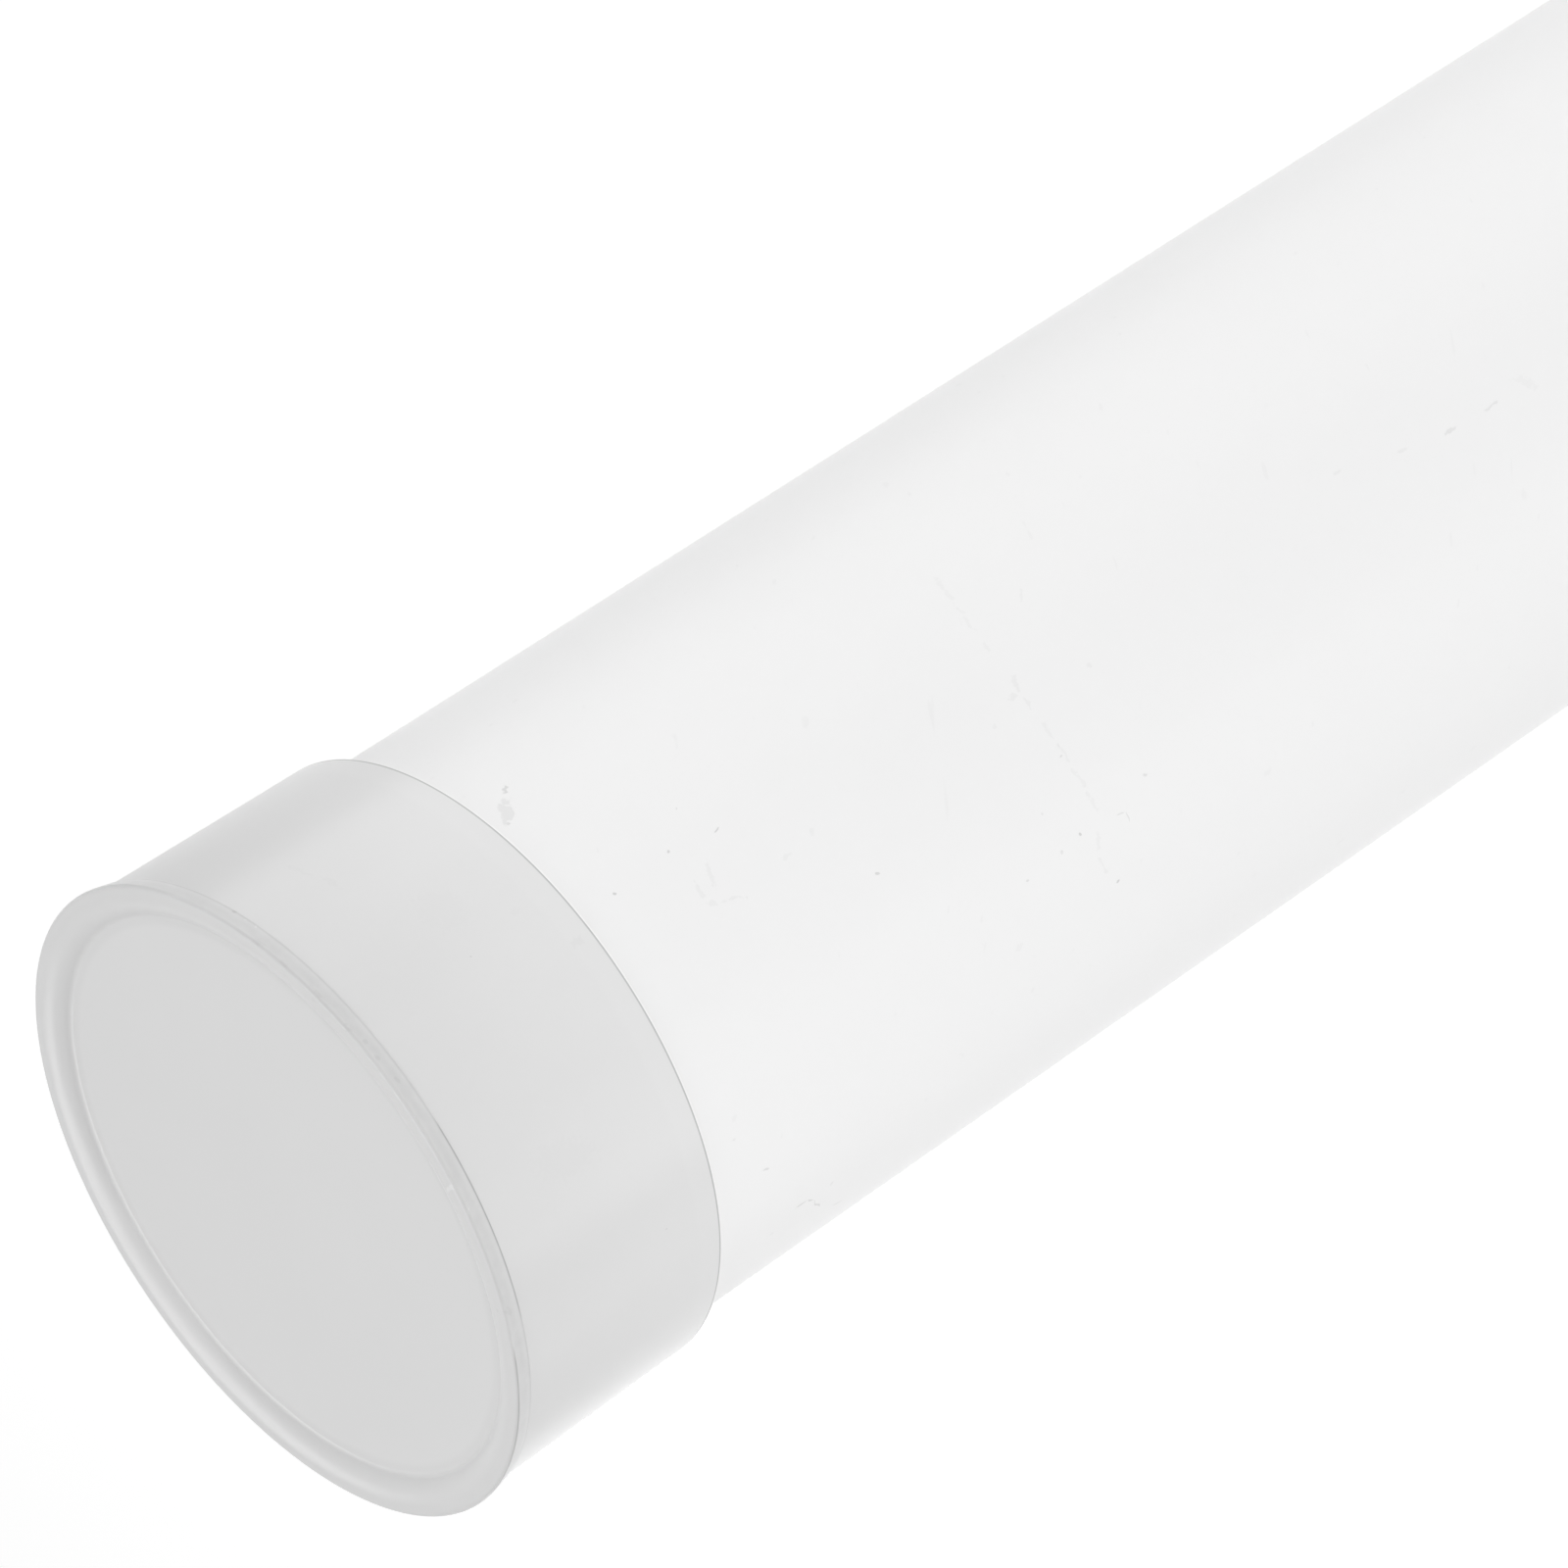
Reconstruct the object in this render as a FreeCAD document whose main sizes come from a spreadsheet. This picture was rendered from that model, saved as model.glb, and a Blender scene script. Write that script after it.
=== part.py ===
"""Round plastic poster tube with a slip-on cap over each end.

Frame: +Z runs up the tube's axis.  The origin is on the axis, in the plane of the bottom cap's
rim, which is what the tube stands on.  Lengths are in millimetres.

The tube is an extrusion and both caps are the same moulding, revolved from one half section.
The bottom cap stands with its rim down.  The top cap is turned over, with its rim up.
"""
import FreeCAD, Part
import os
import Sketcher

V = FreeCAD.Vector

doc = FreeCAD.newDocument("poster_tube")

# ---------------------------------------------------------------- driving sizes
SIZES = [
    # alias, value, what it is
    ("tube_length", 445.0, "cut length of the tube"),
    ("tube_diameter", 60.0, "outside diameter of the tube"),
    ("tube_wall", 1.2, "wall of the tube"),
    ("tube_end_chamfer", 0.3, "broken edges at the cut ends"),
    ("cap_clearance", 0.2, "radial slip between the tube and a cap's skirt"),
    ("cap_depth", 25.5, "height of a cap, from rim to open edge"),
    ("skirt_wall", 1.5, "wall of the skirt at its open edge"),
    ("skirt_draft", 0.35, "how much the skirt has grown in radius where it meets the lip"),
    ("lip_width", 2.0, "height of the lip round the closed end"),
    ("lip_step", 0.3, "how far the back of the lip stands out past the skirt"),
    ("lip_flare", 0.46, "how much wider in radius the lip's front edge is than its back"),
    ("rim_width", 2.56, "rim that the cap stands on, with its inner edge rounded off"),
    ("rim_slope_width", 1.13, "steep ring between the rim and the end panel"),
    ("panel_recess", 1.35, "how deep the end panel sits below the rim"),
    ("panel_thickness", 0.95, "thickness of the end panel"),
    ("lip_edge_chamfer", 0.3, "broken edge at the lip's front"),
    ("lip_back_chamfer", 0.12, "broken edge at the lip's back"),
    ("rim_edge_radius", 3.0, "broad crown between the rim and its slope"),
    ("skirt_edge_chamfer", 0.2, "broken outside of the open edge"),
    ("lead_in", 0.6, "chamfer that guides the skirt over the tube"),
]
sheet = doc.addObject("Spreadsheet::Sheet", "sizes")
for row, (alias, value, meaning) in enumerate(SIZES, start=1):
    sheet.set("A%d" % row, alias)
    sheet.set("B%d" % row, str(value))
    sheet.setAlias("B%d" % row, alias)
    sheet.set("C%d" % row, meaning)
doc.recompute()

# Sizes that follow from the driving ones, as expressions over the sheet.
TUBE_RADIUS = "sizes.tube_diameter / 2"
SEAT = "(sizes.panel_recess + sizes.panel_thickness)"
BORE_RADIUS = "(%s + sizes.cap_clearance)" % TUBE_RADIUS
EDGE_RADIUS = "(%s + sizes.skirt_wall)" % BORE_RADIUS
ROOT_RADIUS = "(%s + sizes.skirt_draft)" % EDGE_RADIUS
LIP_BACK_RADIUS = "(%s + sizes.lip_step)" % ROOT_RADIUS
LIP_RADIUS = "(%s + sizes.lip_flare)" % LIP_BACK_RADIUS
RIM_INNER_RADIUS = "(%s - sizes.rim_width)" % LIP_RADIUS
PANEL_RADIUS = "(%s - sizes.rim_slope_width)" % RIM_INNER_RADIUS
OVERALL_LENGTH = "(sizes.tube_length + 2 * %s)" % SEAT


def value_of(expression):
    """Number that an expression over the sheet gives, in millimetres."""
    return float(sheet.evalExpression(expression))


# ---------------------------------------------------------------- building helpers
def origin_plane(body, role):
    """The body's own origin plane with this role."""
    return next(f for f in body.Origin.OriginFeatures if f.Role == role)


def new_body(label):
    """Empty body whose label is also its node and file name."""
    body = doc.addObject("PartDesign::Body", label)
    body.Label = label
    return body


def new_sketch(body, name, role):
    """Sketch lying on one of the body's origin planes."""
    sketch = body.newObject("Sketcher::SketchObject", name)
    sketch.AttachmentSupport = [(origin_plane(body, role), "")]
    sketch.MapMode = "FlatFace"
    return sketch


def closed_outline(sketch, corners):
    """Closed outline of straight lines, each corner tied to its radius and height.

    corners lists (name, radius expression, height expression).
    """
    points = [V(value_of(radius), value_of(height), 0) for _, radius, height in corners]
    count = len(points)
    for i, start in enumerate(points):
        sketch.addGeometry(Part.LineSegment(start, points[(i + 1) % count]), False)
    for i in range(count):
        sketch.addConstraint(Sketcher.Constraint("Coincident", i, 2, (i + 1) % count, 1))
    for i, (name, radius, height) in enumerate(corners):
        for kind, along, expression in (("DistanceX", "radius", radius), ("DistanceY", "height", height)):
            size = value_of(expression)
            index = sketch.addConstraint(Sketcher.Constraint(kind, -1, 1, i, 1, size))
            label = "%s_%s" % (name, along)
            sketch.renameConstraint(index, label)
            sketch.setExpression("Constraints." + label, expression)


def circle_edges(feature, places):
    """Names of the feature's round edges at the given radii and heights."""
    names = []
    for radius, height in places:
        for number, edge in enumerate(feature.Shape.Edges, start=1):
            curve = edge.Curve
            if not isinstance(curve, Part.Circle):
                continue
            same_radius = abs(curve.Radius - radius) < 1e-5
            same_height = abs(curve.Center.z - height) < 1e-5
            if same_radius and same_height:
                names.append("Edge%d" % number)
    return names


def dress(body, kind, name, places, size):
    """Fillet or chamfer on round edges, given by expressions for radius and height."""
    doc.recompute()
    base = body.Tip
    spots = [(value_of(radius), value_of(height)) for radius, height in places]
    edges = circle_edges(base, spots)
    if len(edges) != len(places):
        raise RuntimeError("%s: %d edges found for %d places" % (name, len(edges), len(places)))
    feature = body.newObject("PartDesign::" + kind, name)
    feature.Base = (base, edges)
    feature.setExpression("Radius" if kind == "Fillet" else "Size", size)
    doc.recompute()
    if abs(feature.Shape.Volume - base.Shape.Volume) < 1e-6:
        raise RuntimeError(name + " changed nothing")


# ---------------------------------------------------------------- tube
def make_tube():
    """Extruded tube, open at both ends, standing on the bottom cap's end panel."""
    body = new_body("tube")
    section = new_sketch(body, "tube_section", "XY_Plane")
    inner = TUBE_RADIUS + " - sizes.tube_wall"
    for i, (name, expression) in enumerate((("outer", TUBE_RADIUS), ("inner", inner))):
        radius = value_of(expression)
        section.addGeometry(Part.Circle(V(0, 0, 0), V(0, 0, 1), radius), False)
        section.addConstraint(Sketcher.Constraint("Coincident", i, 3, -1, 1))
        index = section.addConstraint(Sketcher.Constraint("Radius", i, radius))
        section.renameConstraint(index, name + "_radius")
        section.setExpression("Constraints.%s_radius" % name, expression)
    doc.recompute()
    extrusion = body.newObject("PartDesign::Pad", "tube_extrusion")
    extrusion.Profile = section
    extrusion.setExpression("Length", "sizes.tube_length")
    rims = [(radius, height) for radius in (TUBE_RADIUS, inner) for height in ("0 mm", "sizes.tube_length")]
    dress(body, "Chamfer", "tube_broken_edges", rims, "sizes.tube_end_chamfer")
    body.setExpression("Placement.Base.z", SEAT)
    return body


# ---------------------------------------------------------------- caps
def make_cap(label):
    """Moulded slip-on cap, rim down at height 0 and open upwards.

    The half section goes from the middle of the end panel's outer face, over the rim and the lip,
    up the drafted skirt and down its bore to the middle of the panel's inner face.
    """
    body = new_body(label)
    section = new_sketch(body, label + "_section", "XZ_Plane")
    closed_outline(section, [
        ("panel_outside", "0 mm", "sizes.panel_recess"),
        ("panel_corner", PANEL_RADIUS, "sizes.panel_recess"),
        ("rim_inside", RIM_INNER_RADIUS, "0 mm"),
        ("lip_front", LIP_RADIUS, "0 mm"),
        ("lip_back", LIP_BACK_RADIUS, "sizes.lip_width"),
        ("skirt_root", ROOT_RADIUS, "sizes.lip_width"),
        ("skirt_edge", EDGE_RADIUS, "sizes.cap_depth"),
        ("bore_mouth", BORE_RADIUS, "sizes.cap_depth"),
        ("bore_end", BORE_RADIUS, SEAT),
        ("panel_inside", "0 mm", SEAT),
    ])
    doc.recompute()
    moulding = body.newObject("PartDesign::Revolution", label + "_moulding")
    moulding.Profile = section
    moulding.ReferenceAxis = (section, ["V_Axis"])
    moulding.Angle = 360
    rim_and_lip = [
        ("Chamfer", "lip_edge", LIP_RADIUS, "0 mm", "sizes.lip_edge_chamfer"),
        ("Chamfer", "lip_back_edge", LIP_BACK_RADIUS, "sizes.lip_width", "sizes.lip_back_chamfer"),
        ("Fillet", "rim_edge", RIM_INNER_RADIUS, "0 mm", "sizes.rim_edge_radius"),
        ("Chamfer", "seat_corner", BORE_RADIUS, SEAT, "sizes.tube_end_chamfer"),
        ("Chamfer", "skirt_outer_edge", EDGE_RADIUS, "sizes.cap_depth", "sizes.skirt_edge_chamfer"),
        ("Chamfer", "skirt_lead_in", BORE_RADIUS, "sizes.cap_depth", "sizes.lead_in"),
    ]
    for kind, name, radius, height, size in rim_and_lip:
        dress(body, kind, "%s_%s" % (label, name), [(radius, height)], size)
    return body


def make_bottom_cap():
    """Cap that the tube stands on."""
    return make_cap("bottom_cap")


def make_top_cap():
    """The same cap turned over on the upper end."""
    body = make_cap("top_cap")
    body.Placement = FreeCAD.Placement(V(0, 0, value_of(OVERALL_LENGTH)), FreeCAD.Rotation(V(1, 0, 0), 180))
    body.setExpression("Placement.Base.z", OVERALL_LENGTH)
    return body


# ---------------------------------------------------------------- build, test and write
bodies = [make_tube(), make_bottom_cap(), make_top_cap()]
doc.recompute()

for item in doc.Objects:
    if "Invalid" in item.State or "Error" in item.State:
        raise RuntimeError("%s failed: %s" % (item.Label, item.State))
for body in bodies:
    if body.Shape.isNull() or not body.Shape.isValid() or len(body.Shape.Solids) != 1:
        raise RuntimeError(body.Label + " is not one sound solid")

os.makedirs("parts", exist_ok=True)
for body in bodies:
    body.Shape.exportStep("parts/%s.step" % body.Label)
    box = body.Shape.optimalBoundingBox()
    print("%-11s volume %9.1f mm3   z %7.2f to %7.2f   radius %6.2f"
          % (body.Label, body.Shape.Volume, box.ZMin, box.ZMax, box.XMax))
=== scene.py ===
"""Finish, light and camera for the round plastic poster tube.

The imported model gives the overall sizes.  The tube and its two caps are modelled again here with
their fine rounds, and each rides on its own body, so both caps pull off along the axis.
Lengths are in metres and +Z runs up the tube.
"""
import math

import bmesh
import bpy
from mathutils import Matrix, Quaternion, Vector


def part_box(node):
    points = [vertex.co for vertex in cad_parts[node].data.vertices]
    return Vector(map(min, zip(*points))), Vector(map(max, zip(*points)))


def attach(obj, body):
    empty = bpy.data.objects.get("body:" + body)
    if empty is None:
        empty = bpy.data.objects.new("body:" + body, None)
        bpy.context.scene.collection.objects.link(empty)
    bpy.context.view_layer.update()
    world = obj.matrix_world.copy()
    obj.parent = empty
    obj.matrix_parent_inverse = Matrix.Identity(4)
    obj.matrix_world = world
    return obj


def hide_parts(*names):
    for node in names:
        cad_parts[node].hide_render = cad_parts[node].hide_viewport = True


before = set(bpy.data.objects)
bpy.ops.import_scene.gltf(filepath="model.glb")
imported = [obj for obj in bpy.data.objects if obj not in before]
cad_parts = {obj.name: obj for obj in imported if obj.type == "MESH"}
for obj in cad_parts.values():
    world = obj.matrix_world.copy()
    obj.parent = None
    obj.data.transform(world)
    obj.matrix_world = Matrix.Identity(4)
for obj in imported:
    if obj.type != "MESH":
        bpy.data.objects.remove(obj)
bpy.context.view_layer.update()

MM = 0.001

# ---------------------------------------------------------------- sizes
TUBE_LOW, TUBE_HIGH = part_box("tube")
TOP_LOW, TOP_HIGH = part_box("top_cap")
BOTTOM_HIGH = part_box("bottom_cap")[1]

TUBE_RADIUS = TUBE_HIGH.x
TUBE_WALL = 1.2 * MM
TUBE_END_ROUND = 0.3 * MM

OVERALL_LENGTH = TOP_HIGH.z
CAP_SEAT = TUBE_LOW.z
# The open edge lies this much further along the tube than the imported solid's.
OPEN_EDGE_REACH = 0.3 * MM
CAP_DEPTH = BOTTOM_HIGH.z + OPEN_EDGE_REACH
CAP_CLEARANCE = 0.2 * MM
SKIRT_WALL = 1.5 * MM
SKIRT_DRAFT = 0.35 * MM
LIP_WIDTH = 2.0 * MM
LIP_STEP = 0.3 * MM
LIP_FLARE = 0.46 * MM
RIM_WIDTH = 2.56 * MM
RIM_SLOPE_WIDTH = 1.13 * MM
PANEL_RECESS = 1.35 * MM
LEAD_IN = 0.6 * MM

BORE_RADIUS = TUBE_RADIUS + CAP_CLEARANCE
EDGE_RADIUS = BORE_RADIUS + SKIRT_WALL
ROOT_RADIUS = EDGE_RADIUS + SKIRT_DRAFT
LIP_BACK_RADIUS = ROOT_RADIUS + LIP_STEP
LIP_RADIUS = LIP_BACK_RADIUS + LIP_FLARE
RIM_INNER_RADIUS = LIP_RADIUS - RIM_WIDTH
PANEL_RADIUS = RIM_INNER_RADIUS - RIM_SLOPE_WIDTH

# Corner rounds of a cap's section, from the end panel outwards and back to the seat.
PANEL_CORNER_ROUND = 0.7 * MM
RIM_CROWN_ROUND = 3.0 * MM
LIP_EDGE_ROUND = 0.3 * MM
LIP_BACK_ROUND = 0.12 * MM
SKIRT_ROOT_ROUND = 0.1 * MM
OPEN_EDGE_ROUND = 0.08 * MM
BORE_MOUTH_ROUND = 0.1 * MM
LEAD_IN_ROUND = 0.3 * MM

TURN_STEPS = 288        # faces round a turned piece
ROUND_STEPS = 6         # faces across a round
MERGE_DISTANCE = 0.001 * MM
FLAT_FACE_WEIGHT = 100  # the largest faces lead the normals


# ---------------------------------------------------------------- turned shapes
def round_corner(mesh, corner, radius):
    """Rounds one corner of a wire section with an arc of this radius."""
    ends = [edge.other_vert(corner).co - corner.co for edge in corner.link_edges]
    turn = math.pi - ends[0].angle(ends[1])
    bmesh.ops.bevel(mesh, geom=[corner], offset=radius * math.tan(turn / 2), offset_type="OFFSET",
                    segments=ROUND_STEPS, profile=0.5, affect="VERTICES", material=-1)


def turned_piece(name, section, closed):
    """Piece spun about the axis from its half section, a list of (radius, height, corner round)."""
    mesh = bmesh.new()
    corners = [mesh.verts.new((radius, 0, height)) for radius, height, _ in section]
    for start, end in zip(corners, corners[1:]):
        mesh.edges.new((start, end))
    if closed:
        mesh.edges.new((corners[-1], corners[0]))
    for corner, (_, _, corner_round) in zip(corners, section):
        if corner_round:
            round_corner(mesh, corner, corner_round)
    bmesh.ops.spin(mesh, geom=mesh.verts[:] + mesh.edges[:], cent=(0, 0, 0), axis=(0, 0, 1),
                   angle=2 * math.pi, steps=TURN_STEPS, use_merge=True)
    bmesh.ops.remove_doubles(mesh, verts=mesh.verts, dist=MERGE_DISTANCE)
    bmesh.ops.recalc_face_normals(mesh, faces=mesh.faces)
    data = bpy.data.meshes.new(name)
    mesh.to_mesh(data)
    mesh.free()
    data.shade_smooth()
    piece = bpy.data.objects.new(name, data)
    bpy.context.scene.collection.objects.link(piece)
    flats = piece.modifiers.new("flats_stay_flat", "WEIGHTED_NORMAL")
    flats.weight = FLAT_FACE_WEIGHT
    return piece


def make_tube():
    """Wall of the tube, a plain extrusion with its cut ends broken."""
    inner = TUBE_RADIUS - TUBE_WALL
    return turned_piece("tube_wall", [
        (TUBE_RADIUS, TUBE_LOW.z, TUBE_END_ROUND),
        (TUBE_RADIUS, TUBE_HIGH.z, TUBE_END_ROUND),
        (inner, TUBE_HIGH.z, TUBE_END_ROUND),
        (inner, TUBE_LOW.z, TUBE_END_ROUND),
    ], closed=True)


def make_cap(name):
    """Moulded slip-on cap with its rim down at height 0."""
    return turned_piece(name, [
        (0, PANEL_RECESS, 0),
        (PANEL_RADIUS, PANEL_RECESS, PANEL_CORNER_ROUND),
        (RIM_INNER_RADIUS, 0, RIM_CROWN_ROUND),
        (LIP_RADIUS, 0, LIP_EDGE_ROUND),
        (LIP_BACK_RADIUS, LIP_WIDTH, LIP_BACK_ROUND),
        (ROOT_RADIUS, LIP_WIDTH, SKIRT_ROOT_ROUND),
        (EDGE_RADIUS, CAP_DEPTH, OPEN_EDGE_ROUND),
        (BORE_RADIUS + LEAD_IN, CAP_DEPTH, BORE_MOUTH_ROUND),
        (BORE_RADIUS, CAP_DEPTH - LEAD_IN, LEAD_IN_ROUND),
        (BORE_RADIUS, CAP_SEAT, TUBE_END_ROUND),
        (0, CAP_SEAT, 0),
    ], closed=False)


def turn_over(piece):
    """Turns a bottom cap's mesh into a top cap's."""
    raised = Matrix.Translation((0, 0, OVERALL_LENGTH))
    piece.data.transform(raised @ Matrix.Rotation(math.pi, 4, "X"))


# ---------------------------------------------------------------- node building
VECTORS = ("Place", "Middle", "Rotation", "Half size")      # group inputs that are vectors
TURN_FADE = 4                                               # degrees


def add_node(tree, kind, inputs=None, **properties):
    """Adds a node; inputs maps its sockets to plain values or to the sockets that feed them."""
    made = tree.nodes.new("ShaderNode" + kind)
    for name, value in properties.items():
        setattr(made, name, value)
    for socket, value in (inputs or {}).items():
        if isinstance(value, bpy.types.NodeSocket):
            tree.links.new(value, made.inputs[socket])
        else:
            made.inputs[socket].default_value = value
    return made


def calculate(tree, operation, *values):
    """Result socket of one math operation."""
    return add_node(tree, "Math", dict(enumerate(values)), operation=operation).outputs[0]


def ramp(tree, value, start, end, low=0.0, high=1.0):
    """Smooth change from low to high while the value goes from start to end."""
    sockets = {"Value": value, "From Min": start, "From Max": end, "To Min": low, "To Max": high}
    return add_node(tree, "MapRange", sockets, interpolation_type="SMOOTHSTEP").outputs["Result"]


def band(tree, value, middle, rise, full, fade, end):
    """Mask that is 1 near the middle value.

    It rises from rise to full and falls from fade to end, in millimetres away from the middle.
    """
    up = ramp(tree, value, middle + rise * MM, middle + full * MM)
    down = ramp(tree, value, middle + fade * MM, middle + end * MM, 1, 0)
    return calculate(tree, "MULTIPLY", up, down)


def part_way(tree, turn, start, end):
    """Mask that is 1 between two angles in degrees and fades out past them."""
    fade = math.radians(TURN_FADE)
    start, end = math.radians(start), math.radians(end)
    return calculate(tree, "MULTIPLY", ramp(tree, turn, start - fade, start),
                     ramp(tree, turn, end, end + fade, 1, 0))


def new_group(name, inputs, outputs):
    """Empty shader group; gives its tree, its input node and its output node."""
    tree = bpy.data.node_groups.new(name, "ShaderNodeTree")
    for socket in inputs:
        kind = "NodeSocketVector" if socket in VECTORS else "NodeSocketFloat"
        tree.interface.new_socket(socket, in_out="INPUT", socket_type=kind)
    for socket in outputs:
        tree.interface.new_socket(socket, in_out="OUTPUT", socket_type="NodeSocketFloat")
    return tree, tree.nodes.new("NodeGroupInput"), tree.nodes.new("NodeGroupOutput")


def use_group(tree, group, **inputs):
    """Places a group in a material with its own values, and gives its first output."""
    placed = tree.nodes.new("ShaderNodeGroup")
    placed.node_tree = group
    for socket, value in inputs.items():
        socket = socket.replace("_", " ").capitalize()
        if isinstance(value, bpy.types.NodeSocket):
            tree.links.new(value, placed.inputs[socket])
        else:
            placed.inputs[socket].default_value = value
    return placed.outputs[0]


# ---------------------------------------------------------------- shared surface effects
NOISE_MIDDLE = 0.5                      # the value that a noise swings about
HAIRLINE_STRETCH = (1, 1, 0.02)
HAIRLINE_SOFTNESS = 0.05
MARK_EDGE, MARK_CORE = 1.0, 0.6         # shares of its half size where a mark starts and is full


def make_clouding():
    """Slow change of a value about 1, as in moulded or extruded plastic."""
    names = ["Grain per metre", "Stretch", "Amount"]
    tree, given, result = new_group("clouding", names, ["Factor"])
    place = add_node(tree, "TexCoord").outputs["Object"]
    stretch = add_node(tree, "CombineXYZ", {"X": 1, "Y": 1, "Z": given.outputs["Stretch"]})
    place = add_node(tree, "VectorMath", {0: place, 1: stretch.outputs[0]},
                     operation="MULTIPLY").outputs[0]
    noise = add_node(tree, "TexNoise", {"Vector": place, "Scale": given.outputs["Grain per metre"],
                                        "Detail": 3, "Roughness": 0.55}).outputs["Fac"]
    swing = calculate(tree, "SUBTRACT", noise, NOISE_MIDDLE)
    swing = calculate(tree, "MULTIPLY", swing, given.outputs["Amount"])
    tree.links.new(calculate(tree, "ADD", swing, 1), result.inputs["Factor"])
    return tree


def make_specks():
    """Scattered dust specks: a mask that is 1 on the few cells that hold one."""
    tree, given, result = new_group("specks", ["Cells per metre", "Share", "Size"], ["Mask"])
    place = add_node(tree, "TexCoord").outputs["Object"]
    cells = add_node(tree, "TexVoronoi", {"Vector": place,
                                          "Scale": given.outputs["Cells per metre"]})
    pick = add_node(tree, "SeparateColor", {"Color": cells.outputs["Color"]})
    chosen = calculate(tree, "LESS_THAN", pick.outputs["Red"], given.outputs["Share"])
    reach = calculate(tree, "MULTIPLY", given.outputs["Size"], pick.outputs["Green"])
    inside = calculate(tree, "LESS_THAN", cells.outputs["Distance"], reach)
    tree.links.new(calculate(tree, "MULTIPLY", chosen, inside), result.inputs["Mask"])
    return tree


def make_hairlines():
    """Faint handling scratches, long and thin, all roughly along one turned direction."""
    tree, given, result = new_group("hairlines", ["Turn", "Lines per metre", "Share"], ["Mask"])
    place = add_node(tree, "TexCoord").outputs["Object"]
    turned = add_node(tree, "VectorRotate", {"Vector": place, "Angle": given.outputs["Turn"]},
                      rotation_type="Y_AXIS").outputs[0]
    drawn_out = add_node(tree, "VectorMath", {0: turned, 1: HAIRLINE_STRETCH},
                         operation="MULTIPLY").outputs[0]
    noise = add_node(tree, "TexNoise", {"Vector": drawn_out, "Detail": 1,
                                        "Scale": given.outputs["Lines per metre"]}).outputs["Fac"]
    level = calculate(tree, "SUBTRACT", 1, given.outputs["Share"])
    full = calculate(tree, "ADD", level, HAIRLINE_SOFTNESS)
    tree.links.new(ramp(tree, noise, level, full), result.inputs["Mask"])
    return tree


def make_mark():
    """One ragged oval mark, as large as a box with this middle, rotation and half size."""
    names = ["Place", "Grain", "Middle", "Rotation", "Half size", "Raggedness"]
    tree, given, result = new_group("mark", names, ["Mask"])
    box = {"Vector": given.outputs["Place"], "Location": given.outputs["Middle"],
           "Rotation": given.outputs["Rotation"], "Scale": given.outputs["Half size"]}
    local = add_node(tree, "Mapping", box, vector_type="TEXTURE").outputs[0]
    away = add_node(tree, "VectorMath", {0: local}, operation="LENGTH").outputs["Value"]
    ragged = calculate(tree, "MULTIPLY_ADD", given.outputs["Grain"], given.outputs["Raggedness"],
                       away)
    tree.links.new(ramp(tree, ragged, MARK_EDGE, MARK_CORE), result.inputs["Mask"])
    return tree


CLOUDING = make_clouding()
SPECKS = make_specks()
HAIRLINES = make_hairlines()
MARK = make_mark()


# ---------------------------------------------------------------- materials
def new_material(name, **settings):
    """Material with one Principled shader, whose plain sockets are set by name."""
    material = bpy.data.materials.new(name)
    material.use_nodes = True
    shader = material.node_tree.nodes["Principled BSDF"]
    for socket, value in settings.items():
        shader.inputs[socket.replace("_", " ")].default_value = value
    return material, shader


def darkened(tree, tone, mask, loss):
    """The tone, lowered by the share loss where the mask is 1.  A loss below 0 lightens it."""
    kept = calculate(tree, "MULTIPLY_ADD", mask, -loss, 1)
    return calculate(tree, "MULTIPLY", tone, kept)


def paint_marks(tree, tone, marks, wall):
    """The tone with each listed mark laid over it, on a round wall of this radius.

    A fine noise frays the marks, and a coarse one draws them out of true.
    """
    place = add_node(tree, "TexCoord").outputs["Object"]
    noise = add_node(tree, "TexNoise", {"Vector": place, "Scale": FRAY_PER_METRE, "Detail": 2})
    grain = calculate(tree, "SUBTRACT", noise.outputs["Fac"], NOISE_MIDDLE)
    noise = add_node(tree, "TexNoise", {"Vector": place, "Scale": DRIFT_PER_METRE, "Detail": 2})
    drift = add_node(tree, "VectorMath", {0: noise.outputs["Color"], 1: (NOISE_MIDDLE,) * 3},
                     operation="SUBTRACT").outputs[0]
    drift = add_node(tree, "VectorMath", {0: drift, "Scale": DRIFT_REACH},
                     operation="SCALE").outputs[0]
    place = add_node(tree, "VectorMath", {0: place, 1: drift}, operation="ADD").outputs[0]
    for angle, height, across, along, turn, raggedness, loss in marks:
        angle = math.radians(angle)
        middle = (wall * math.sin(angle), -wall * math.cos(angle), height * MM)
        rotation = (-math.radians(turn), 0, angle - math.pi / 2)
        mask = use_group(tree, MARK, place=place, grain=grain, middle=middle, rotation=rotation,
                         half_size=(MARK_DEPTH, across * MM, along * MM), raggedness=raggedness)
        tone = darkened(tree, tone, mask, loss)
    return tone


def scratch(half_width, raggedness, loss, points):
    """Marks that lie end to end along a line of (angle, height) points."""
    marks = []
    for (angle, height), (next_angle, next_height) in zip(points, points[1:]):
        step = TUBE_RADIUS / MM * math.radians(next_angle - angle)
        rise = next_height - height
        middle = ((angle + next_angle) / 2, (height + next_height) / 2)
        turn = math.degrees(math.atan2(step, rise))
        marks.append((*middle, half_width, math.hypot(step, rise) / 2, turn, raggedness, loss))
    return marks


def grey(tree, tone):
    """Neutral colour of this tone."""
    return add_node(tree, "CombineColor", {"Red": tone, "Green": tone, "Blue": tone}).outputs[0]


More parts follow.
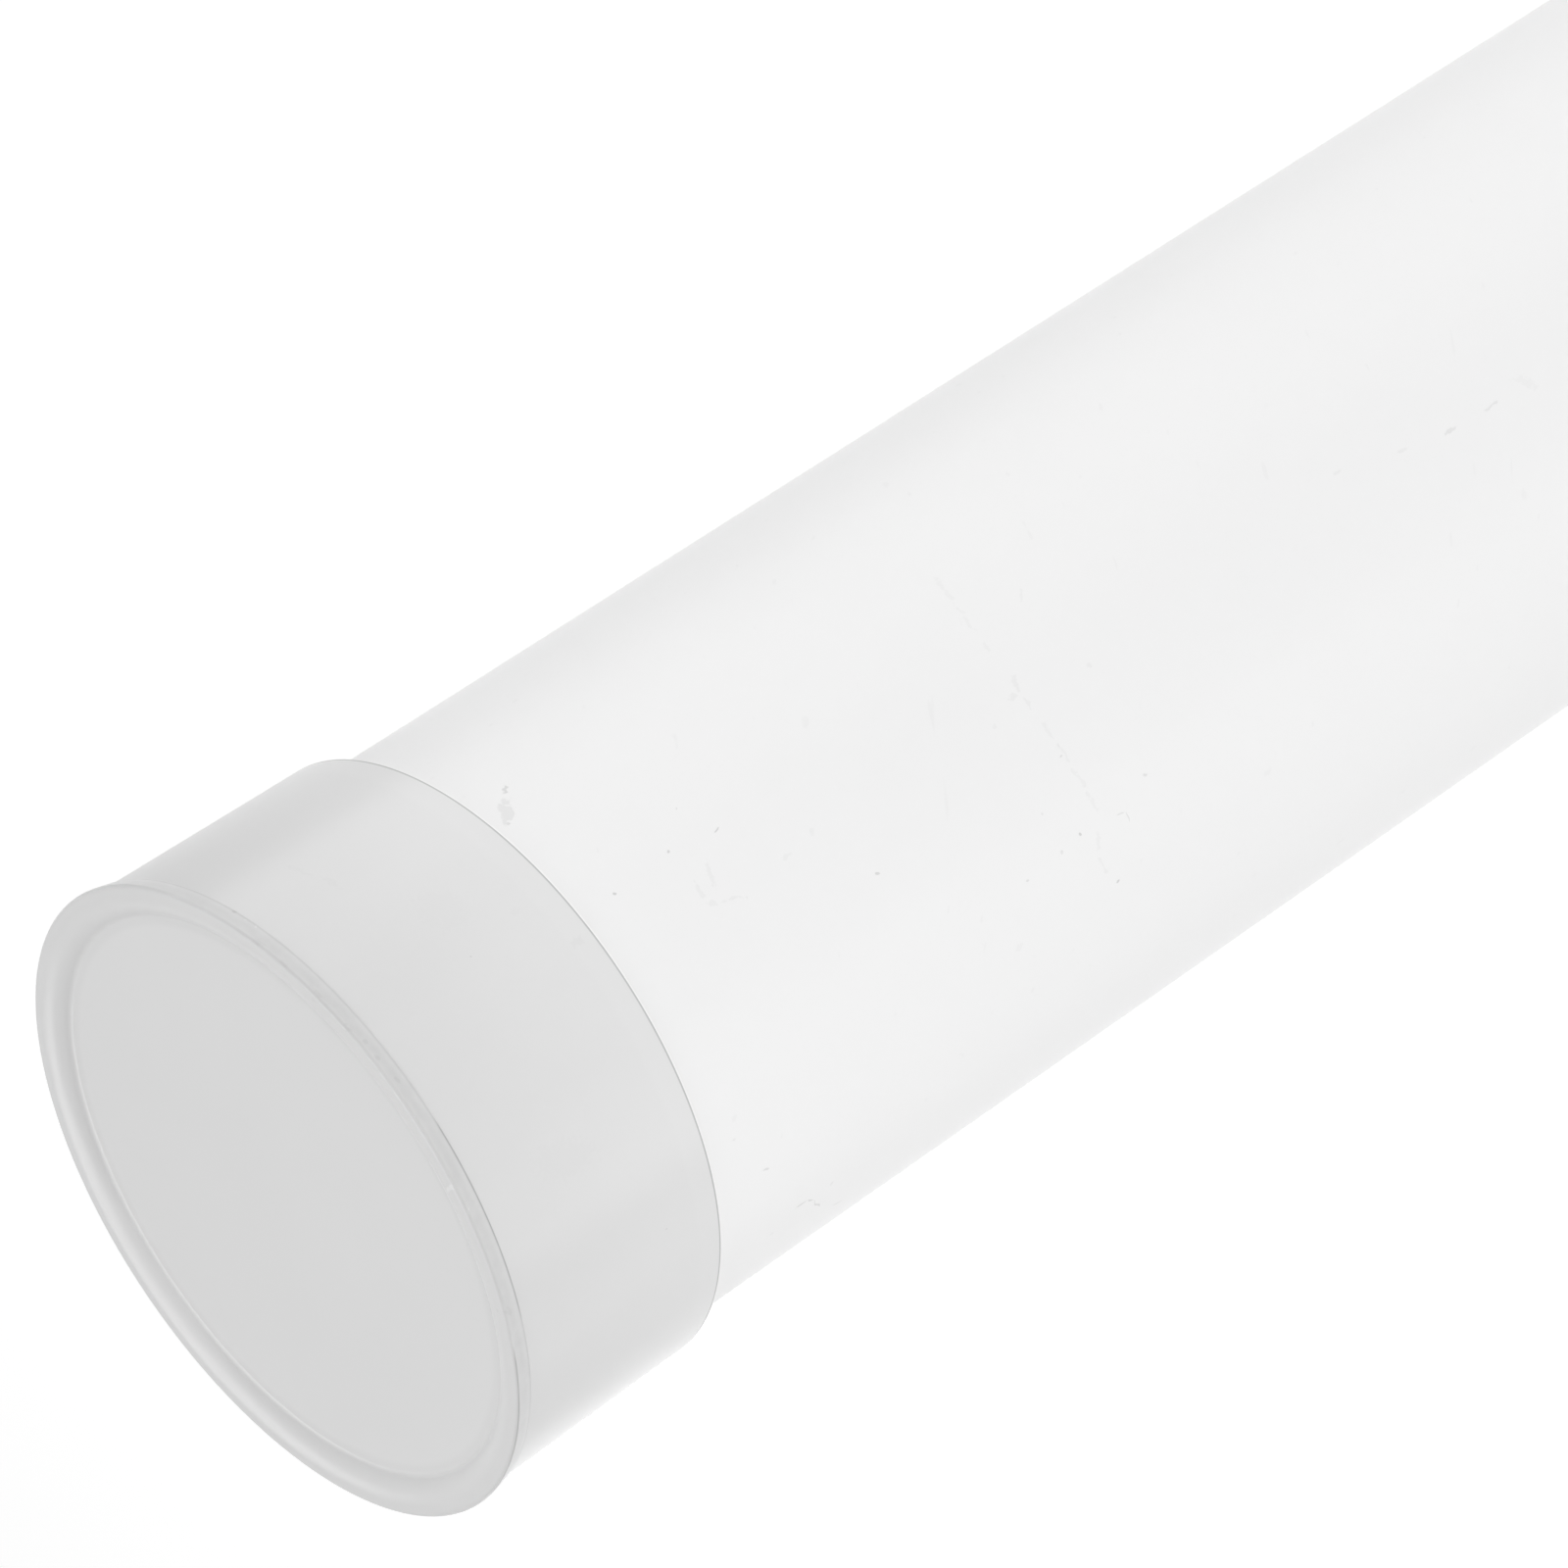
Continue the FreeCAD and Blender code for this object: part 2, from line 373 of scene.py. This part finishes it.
def bumped(tree, shader, height, distance):
    """Feeds a height that changes over the surface to the shader's normal."""
    relief = add_node(tree, "Bump", {"Height": height, "Distance": distance, "Strength": 1})
    tree.links.new(relief.outputs[0], shader.inputs["Normal"])


# ---------------------------------------------------------------- dirt and wear
FRAY_PER_METRE = 2200
DRIFT_PER_METRE = 420
DRIFT_REACH = 1.2 * MM
MARK_DEPTH = 1.2 * MM       # how far in and out of its wall a mark reaches

# Each mark: angle from the front towards +X, height, half width across, half width along, turn,
# raggedness and share of the tone lost, in degrees and millimetres.
TUBE_MARKS = [
    (36, 420.5, 0.75, 1.8, -52, 2.2, 0.10),     # greasy smudge beside the cap
    (40, 418.8, 0.3, 0.65, -54, 3.0, 0.20),
    (33.5, 421.4, 0.2, 0.3, -52, 1.5, 0.16),
    (18, 408.1, 0.1, 0.15, -40, 0.5, 0.12),     # dust and short nicks
    (11.5, 406.4, 0.11, 0.55, -17, 0.8, 0.24),
    (12.5, 411.7, 0.16, 0.2, 0, 1.0, 0.22),
    (12, 418.8, 0.17, 0.22, 15, 0.8, 0.26),
    (-10.5, 395.0, 0.18, 0.35, 20, 0.8, 0.22),
    (0.7, 402.3, 0.2, 0.75, -10, 2.0, 0.04),
    (2, 398.6, 0.4, 0.3, 0, 2.0, 0.04),
    (-0.5, 376.5, 0.35, 0.3, 0, 1.5, 0.04),
    (-0.5, 364.2, 0.25, 0.25, 0, 1.5, 0.05),
    (16.5, 365.2, 0.15, 0.8, -50, 2.0, 0.04),
    (-11.5, 372.0, 0.16, 0.2, 0, 1.0, 0.16),
    (-25, 373.3, 0.16, 0.2, 0, 1.0, 0.24),
    (-26, 375.9, 0.15, 0.25, 30, 1.5, 0.12),
    (-27, 380.6, 0.15, 0.25, 0, 1.5, 0.14),
    (-18, 376.6, 0.15, 0.15, 0, 1.5, 0.10),
    (-23, 364.2, 0.16, 0.3, 20, 1.0, 0.14),
    (-38, 370.6, 0.18, 0.22, 0, 1.0, 0.24),
    (-37, 419.7, 0.2, 0.3, 0, 1.0, 0.07),
    (-47, 416.7, 0.14, 0.4, 5, 0.8, 0.16),
    (-63, 408.0, 0.18, 0.25, 0, 1.0, 0.08),
    (-65.5, 415.2, 0.15, 0.3, 0, 1.0, 0.08),
    (-2, 305.1, 0.45, 1.8, 44, 3.0, 0.03),
]
# a scuff of three strokes
TUBE_MARKS += scratch(0.28, 2.5, 0.045, [(7, 409.3), (2.5, 410.3)])
TUBE_MARKS += scratch(0.3, 2.5, 0.045, [(5.8, 411.5), (2.2, 411.8), (0.2, 411.0)])
TUBE_MARKS += scratch(0.2, 2.5, 0.05, [(0.4, 410.4), (-1.3, 408.0)])
# a long faint handling scratch that runs round the tube, and the darker scuff on it
TUBE_MARKS += scratch(0.22, 3.0, 0.035, [(28.5, 370.5), (22, 371.4), (14, 371.7), (10.5, 372.1)])
TUBE_MARKS += scratch(0.3, 2.5, 0.05, [(5.5, 371.2), (1.5, 372.2), (2.2, 373.6)])
TUBE_MARKS += scratch(0.22, 2.5, 0.05, [(1.5, 371.8), (-1.5, 372.0)])
TUBE_MARKS += scratch(0.25, 3.0, 0.04,
                      [(-4, 371.9), (-9, 371.7), (-14, 371.2), (-19, 371.0), (-25, 370.5)])
TUBE_MARKS += scratch(0.25, 3.0, 0.04, [(-27, 371.5), (-31, 372.0), (-36, 371.6)])
TUBE_MARKS += scratch(0.1, 1.0, 0.12, [(-26.5, 368.8), (-27, 367.6), (-29, 367.6)])
# dashes of a second scratch, which runs along the tube
TUBE_MARKS += scratch(0.2, 2.5, 0.05, [(3.5, 329.8), (2.8, 328.2)])
TUBE_MARKS += scratch(0.2, 2.0, 0.05, [(0.2, 322.2), (0.5, 320.6)])
TUBE_MARKS += scratch(0.25, 2.0, 0.11, [(-1.8, 316.6), (-1.9, 314.6)])
TUBE_MARKS += scratch(0.14, 1.5, 0.10, [(-2.2, 310.8), (-1.9, 309.0)])
# curled fibre scuffs near the lower side
TUBE_MARKS += scratch(0.13, 0.8, 0.20,
                      [(-62.5, 412.7), (-62.2, 411.0), (-64.5, 410.0), (-68.5, 408.9)])
TUBE_MARKS += scratch(0.13, 0.8, 0.16, [(-71.8, 406.9), (-72.8, 405.3)])

CAP_MARKS = [
    # faint smudges and specks on the skirt
    (-20, 438, 2.2, 4.0, 20, 1.8, 0.012),
    (25, 434, 3.0, 2.5, 0, 1.8, 0.010),
    (-42, 430, 0.12, 0.12, 0, 0.5, 0.12),
    (15, 434.9, 0.13, 0.13, 0, 0.5, 0.14),
    (17.7, 428.5, 0.5, 0.7, 20, 1.5, 0.015),
    (8, 425.7, 0.5, 0.8, 0, 2.0, 0.03),
    # knocks along the lip's front edge, darker and lighter
    (45.5, 448.0, 0.35, 0.3, 0, 2.5, 0.14),
    (42.8, 448.1, 0.3, 0.2, 30, 2.0, -0.08),
    (40.6, 448.0, 0.35, 0.15, 60, 2.5, -0.10),
    (37, 449.1, 0.9, 0.3, 0, 2.0, 0.05),
    (31, 449.2, 0.8, 0.3, 0, 2.0, 0.05),
    (24, 449.2, 1.1, 0.3, 0, 2.0, 0.06),
    (16, 449.1, 0.7, 0.35, 0, 2.0, 0.06),
    (12.5, 449.0, 0.45, 0.35, 0, 1.5, 0.07),
    (9.5, 448.9, 0.45, 0.35, 0, 1.5, 0.07),
    (5, 448.8, 0.5, 0.4, 0, 1.5, 0.06),
    (-13.4, 449.4, 0.25, 0.15, 0, 2.0, -0.10),
    (-17.5, 449.4, 0.2, 0.12, 0, 1.5, -0.15),
    (-36, 449.2, 0.6, 0.35, 0, 2.0, 0.05),
]
# two soft rubs on the skirt
CAP_MARKS += scratch(0.3, 2.5, 0.02, [(49, 440.2), (43.5, 439.6)])
CAP_MARKS += scratch(0.35, 2.5, 0.02, [(42.5, 439.4), (38, 438.9)])

# ---------------------------------------------------------------- the two plastics
TUBE_TONE = 0.86
TUBE_ROUGHNESS = 0.48
TUBE_RELIEF = 0.004 * MM
CAP_TONE = 0.68
CAP_ROUGHNESS = 0.3
CAP_RELIEF = 0.01 * MM


def tube_plastic():
    """Satin white wall: extruded, so its clouding is drawn out along the tube."""
    material, shader = new_material("satin_white_tube", Sheen_Weight=0.4, Sheen_Roughness=0.4)
    tree = material.node_tree
    tone = use_group(tree, CLOUDING, grain_per_metre=60, stretch=0.05, amount=0.02)
    blotch = use_group(tree, CLOUDING, grain_per_metre=35, stretch=1, amount=0.012)
    tone = calculate(tree, "MULTIPLY", tone, blotch)
    tone = calculate(tree, "MULTIPLY", tone, TUBE_TONE)
    specks = use_group(tree, SPECKS, cells_per_metre=160, share=0.12, size=0.04)
    tone = darkened(tree, tone, specks, 0.3)
    lines = use_group(tree, HAIRLINES, turn=math.radians(62), lines_per_metre=900, share=0.26)
    tone = darkened(tree, tone, lines, 0.03)
    tone = paint_marks(tree, tone, TUBE_MARKS, TUBE_RADIUS)
    tree.links.new(grey(tree, tone), shader.inputs["Base Color"])

    rough = use_group(tree, CLOUDING, grain_per_metre=220, stretch=0.4, amount=0.3)
    tree.links.new(calculate(tree, "MULTIPLY", rough, TUBE_ROUGHNESS), shader.inputs["Roughness"])
    satin = use_group(tree, CLOUDING, grain_per_metre=2500, stretch=0.5, amount=1)
    bumped(tree, shader, satin, TUBE_RELIEF)
    return material


def lip_mask(tree, depth, radius):
    """Mask that is 1 on the outward side of a cap's lip."""
    past_skirt = ramp(tree, radius, ROOT_RADIUS + 0.1 * MM, LIP_BACK_RADIUS)
    return calculate(tree, "MULTIPLY", past_skirt, ramp(tree, depth, 0.1 * MM, 0.5 * MM))


def cap_tone_with_painted_light(tree, depth, radius, outside, lip):
    """A cap's tone with painted light and shade: lighter towards its thin open edge, with a painted
    light strip, dark line and highlight at the open edge, and painted shade in the panel's corner,
    on the rim, on the lip's front round and over the lip's side, with a painted dark line and sheen
    by the lip's back.

    Depth runs from the rim to the open edge, and radius from the axis.
    """
    front = ramp(tree, depth, PANEL_RECESS, PANEL_RECESS + 0.3 * MM, 1, 0)
    rim = ramp(tree, depth, 0.15 * MM, 0.5 * MM, 1, 0)
    # painted light: a lighter strip by the open edge, where light shows through the thin skirt
    painted_edge_light_band = ramp(tree, depth, CAP_DEPTH - 3.2 * MM, CAP_DEPTH - 2.2 * MM)
    # painted shade: a dark line where the skirt's open edge turns away from the light
    painted_edge_shade_line = band(tree, depth, CAP_DEPTH, -0.34, -0.27, -0.17, -0.12)
    # painted highlight: a bright line along the very open edge
    painted_edge_highlight = ramp(tree, depth, CAP_DEPTH - 0.15 * MM, CAP_DEPTH - 0.12 * MM)
    # painted shade in the recessed corner between the end panel and the rim's slope
    painted_cove_shade = band(tree, radius, PANEL_RADIUS, -1.5, -0.6, -0.1, 0.2)
    # painted shade over the rim's crown
    painted_crown_shade = ramp(tree, radius, RIM_INNER_RADIUS + 0.15 * MM, RIM_INNER_RADIUS + 1.4 * MM)
    # painted shade on the lip's front round, dulling its highlight
    painted_brow_shade = ramp(tree, radius, LIP_RADIUS - 0.6 * MM, LIP_RADIUS - 0.3 * MM)
    # painted shade: a dark line by the lip's back edge
    painted_lip_back_shade = band(tree, depth, LIP_WIDTH, -0.3, -0.2, -0.12, -0.04)
    # painted sheen: a lighter band on the lip's side before its back edge
    painted_lip_sheen = band(tree, depth, LIP_WIDTH, -1.0, -0.4, -0.36, -0.3)

    # painted light and shade: darker at the rim end and lighter towards the open edge, for light
    # that shows through the thinner skirt
    tone = ramp(tree, depth, 0, CAP_DEPTH * 1.05, 0.965, 1.045)
    # Each form here is painted light and shade, and a loss below 0 lightens. Over the whole lip
    # side the loss is painted shade, for its face that tilts away from the light.
    for form, where, loss in ((painted_edge_light_band, outside, -0.012), (painted_edge_shade_line, outside, 0.36),
                              (painted_edge_highlight, outside, -0.25), (painted_cove_shade, front, 0.045),
                              (painted_crown_shade, rim, 0.045), (painted_brow_shade, rim, 0.02), (lip, 1, 0.095),
                              (painted_lip_back_shade, lip, 0.07), (painted_lip_sheen, lip, -0.04)):
        tone = darkened(tree, tone, calculate(tree, "MULTIPLY", form, where), loss)
    return tone


def lip_edge_lines_and_painted_shade(tree, tone, depth, radius, turn, lip):
    """The tone with painted shade as a dark line under the lip's back edge, where it overhangs the
    skirt, and a dark line along its front edge, each part of the way round.
    """
    # painted shade: a dark line where the lip's back edge overhangs the skirt
    back = band(tree, depth, LIP_WIDTH, -0.24, -0.18, -0.1, -0.04)
    back = calculate(tree, "MULTIPLY", back, part_way(tree, turn, -36, -6))
    tone = darkened(tree, tone, calculate(tree, "MULTIPLY", back, lip), 0.3)
    # a dark line along the lip's front edge
    lip_side = ramp(tree, radius, LIP_RADIUS - 0.26 * MM, LIP_RADIUS - 0.2 * MM)
    front = band(tree, depth, 0, 0.08, 0.14, 0.2, 0.26)
    front = calculate(tree, "MULTIPLY", front, part_way(tree, turn, -80, -46))
    return darkened(tree, tone, calculate(tree, "MULTIPLY", front, lip_side), 0.34)


def varied(tree, tone, factor, where):
    """The tone times a factor near 1, but only where the mask is 1."""
    swing = calculate(tree, "SUBTRACT", factor, 1)
    return calculate(tree, "MULTIPLY", tone, calculate(tree, "MULTIPLY_ADD", swing, where, 1))


def cap_plastic():
    """Smoother grey-white moulding."""
    material, shader = new_material("smooth_grey_white_cap")
    tree = material.node_tree
    place = add_node(tree, "SeparateXYZ", {"Vector": add_node(tree, "TexCoord").outputs["Object"]})
    x, y, z = (place.outputs[axis] for axis in "XYZ")
    depth = calculate(tree, "MINIMUM", z, calculate(tree, "SUBTRACT", OVERALL_LENGTH, z))
    around = add_node(tree, "CombineXYZ", {"X": x, "Y": y}).outputs[0]
    radius = add_node(tree, "VectorMath", {0: around}, operation="LENGTH").outputs["Value"]
    turn = calculate(tree, "ARCTAN2", x, calculate(tree, "MULTIPLY", y, -1))
    outside = ramp(tree, radius, BORE_RADIUS, EDGE_RADIUS)
    lip = lip_mask(tree, depth, radius)

    tone = cap_tone_with_painted_light(tree, depth, radius, outside, lip)
    tone = lip_edge_lines_and_painted_shade(tree, tone, depth, radius, turn, lip)
    clouds = use_group(tree, CLOUDING, grain_per_metre=70, stretch=0.5, amount=0.02)
    tone = calculate(tree, "MULTIPLY", tone, clouds)
    streaks = use_group(tree, CLOUDING, grain_per_metre=55, stretch=0.3, amount=0.07)
    tone = varied(tree, tone, streaks, outside)
    tone = calculate(tree, "MULTIPLY", tone, CAP_TONE)
    mottle = use_group(tree, CLOUDING, grain_per_metre=700, stretch=1.5, amount=0.12)
    tone = varied(tree, tone, mottle, lip)
    specks = use_group(tree, SPECKS, cells_per_metre=220, share=0.06, size=0.05)
    tone = darkened(tree, tone, specks, 0.12)
    tone = paint_marks(tree, tone, CAP_MARKS, ROOT_RADIUS)
    tree.links.new(grey(tree, tone), shader.inputs["Base Color"])

    rough = use_group(tree, CLOUDING, grain_per_metre=160, stretch=1, amount=0.25)
    tree.links.new(calculate(tree, "MULTIPLY", rough, CAP_ROUGHNESS), shader.inputs["Roughness"])
    waves = use_group(tree, CLOUDING, grain_per_metre=150, stretch=0.5, amount=1)
    bumped(tree, shader, waves, CAP_RELIEF)
    return material


# ---------------------------------------------------------------- studio
FLOOR_HALF_SIDE = 20
FLOOR_COLOUR = (0.8, 0.8, 0.8, 1)           # under light that bounces
FLOOR_GLOW = 0.7                            # seen directly, with the next colour over it
FLOOR_SHADOW_COLOUR = (0.5, 0.5, 0.5, 1)
WORLD_STRENGTH = 0.3

# Each lamp: name, azimuth, elevation, distance, width, height and power, in degrees, metres and
# watts.  Azimuth 0 is the camera's side and +90 is +X.  The low band gives the round walls a soft
# sheen from the left round to the right.
LAMPS = [("low_band_%+d" % azimuth, azimuth, -25, 0.6, 0.27, 0.3, 0.355)
         for azimuth in range(-50, 91, 28)]
LAMPS += [
    ("left", -90, -20, 1.2, 0.7, 0.7, 7.2),
    ("left_back", -130, -10, 1.2, 0.7, 0.7, 1.2),
    ("far_left_back", -157, -18, 0.9, 0.45, 0.45, 0.3),
    ("far_right_back", 158, -10, 1.2, 0.6, 0.6, 0.6),
    ("right", 95, 2, 1.2, 0.9, 0.9, 2.1),
    ("right_top", 110, 45, 1.4, 1.2, 1.2, 0.5),
    ("front_top", -5, 35, 0.42, 0.42, 0.42, 0.63),
    ("overhead", -5, 82, 0.42, 0.3, 0.3, 0.3),
    ("back_top", 180, 60, 1.4, 1.0, 1.0, 7.6),
]

CAMERA_AZIMUTH = -0.528
CAMERA_ELEVATION = 30.553
CAMERA_ROLL = -123.385
CAMERA_DISTANCE = 784.19 * MM
CAMERA_AIM = Vector((6.22 * MM, 0, 380.64 * MM))
SENSOR_WIDTH = 36
FOCAL_LENGTH = 191.25


def floor_material():
    """Pale floor: white to the camera and in reflections, and it keeps the object's shadow."""
    material = bpy.data.materials.new("studio_floor")
    material.use_nodes = True
    tree = material.node_tree
    tree.nodes.clear()
    output = tree.nodes.new("ShaderNodeOutputMaterial")
    seen = tree.nodes.new("ShaderNodeMixShader")
    lit = tree.nodes.new("ShaderNodeBsdfDiffuse")
    lit.inputs["Color"].default_value = FLOOR_COLOUR
    shown = tree.nodes.new("ShaderNodeAddShader")
    glow = tree.nodes.new("ShaderNodeEmission")
    glow.inputs["Strength"].default_value = FLOOR_GLOW
    soft = tree.nodes.new("ShaderNodeBsdfDiffuse")
    soft.inputs["Color"].default_value = FLOOR_SHADOW_COLOUR
    tree.links.new(glow.outputs[0], shown.inputs[0])
    tree.links.new(soft.outputs[0], shown.inputs[1])
    tree.links.new(seen_directly(tree), seen.inputs[0])
    tree.links.new(lit.outputs[0], seen.inputs[1])
    tree.links.new(shown.outputs[0], seen.inputs[2])
    tree.links.new(seen.outputs[0], output.inputs["Surface"])
    return material


def seen_directly(tree):
    """Socket that is 1 for camera, glossy and transmission rays, and 0 for light that bounces."""
    path = tree.nodes.new("ShaderNodeLightPath")
    last = path.outputs["Is Camera Ray"]
    for ray in ("Is Glossy Ray", "Is Transmission Ray"):
        either = tree.nodes.new("ShaderNodeMath")
        either.operation = "MAXIMUM"
        tree.links.new(last, either.inputs[0])
        tree.links.new(path.outputs[ray], either.inputs[1])
        last = either.outputs[0]
    return last


def make_floor():
    """Wide flat floor at height 0."""
    mesh = bmesh.new()
    bmesh.ops.create_grid(mesh, x_segments=1, y_segments=1, size=FLOOR_HALF_SIDE)
    data = bpy.data.meshes.new("floor")
    mesh.to_mesh(data)
    mesh.free()
    floor = bpy.data.objects.new("floor", data)
    bpy.context.scene.collection.objects.link(floor)
    floor.data.materials.append(floor_material())


def make_world(strength):
    """Even white surroundings, full white where seen directly and of this strength as light."""
    world = bpy.data.worlds.new("studio")
    bpy.context.scene.world = world
    world.use_nodes = True
    tree = world.node_tree
    around = tree.nodes["Background"]
    around.inputs["Color"].default_value = (1, 1, 1, 1)
    level = tree.nodes.new("ShaderNodeMix")
    level.inputs["A"].default_value = strength
    level.inputs["B"].default_value = 1
    tree.links.new(seen_directly(tree), level.inputs["Factor"])
    tree.links.new(level.outputs["Result"], around.inputs["Strength"])


def direction(azimuth, elevation):
    """Direction from the object, by angles in degrees."""
    a, e = math.radians(azimuth), math.radians(elevation)
    return Vector((math.sin(a) * math.cos(e), -math.cos(a) * math.cos(e), math.sin(e)))


def softbox(name, azimuth, elevation, distance, width, height, power):
    """Soft lamp that faces the top cap's open edge, from this direction and distance in metres."""
    target = Vector((0, 0, TOP_LOW.z))
    away = direction(azimuth, elevation)
    data = bpy.data.lights.new(name, "AREA")
    data.shape = "RECTANGLE"
    data.size, data.size_y = width, height
    data.energy = power
    lamp = bpy.data.objects.new(name, data)
    lamp.location = target + away * distance
    lamp.rotation_euler = away.to_track_quat("Z", "Y").to_euler()
    lamp.visible_camera = False
    bpy.context.scene.collection.objects.link(lamp)


def make_camera():
    """Long lens that looks down at the top cap, rolled so that the tube runs up to the right."""
    away = direction(CAMERA_AZIMUTH, CAMERA_ELEVATION)
    data = bpy.data.cameras.new("camera")
    data.sensor_width = SENSOR_WIDTH
    data.lens = FOCAL_LENGTH
    camera = bpy.data.objects.new("camera", data)
    camera.location = CAMERA_AIM + away * CAMERA_DISTANCE
    look = (-away).to_track_quat("-Z", "Y") @ Quaternion((0, 0, 1), math.radians(CAMERA_ROLL))
    camera.rotation_euler = look.to_euler()
    bpy.context.scene.collection.objects.link(camera)
    bpy.context.scene.camera = camera


# ---------------------------------------------------------------- put together
tube = make_tube()
bottom_cap = make_cap("bottom_cap_moulding")
top_cap = make_cap("top_cap_moulding")
turn_over(top_cap)

tube.data.materials.append(tube_plastic())
cap_finish = cap_plastic()
for cap in (bottom_cap, top_cap):
    cap.data.materials.append(cap_finish)

for piece, node, slot in ((tube, "tube", "tube_plastic"), (bottom_cap, "bottom_cap", "cap_plastic"),
                          (top_cap, "top_cap", "cap_plastic")):
    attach(piece, node)
    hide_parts(node)

make_floor()
make_world(WORLD_STRENGTH)
for lamp in LAMPS:
    softbox(*lamp)
make_camera()

bpy.context.scene.view_settings.view_transform = "Standard"
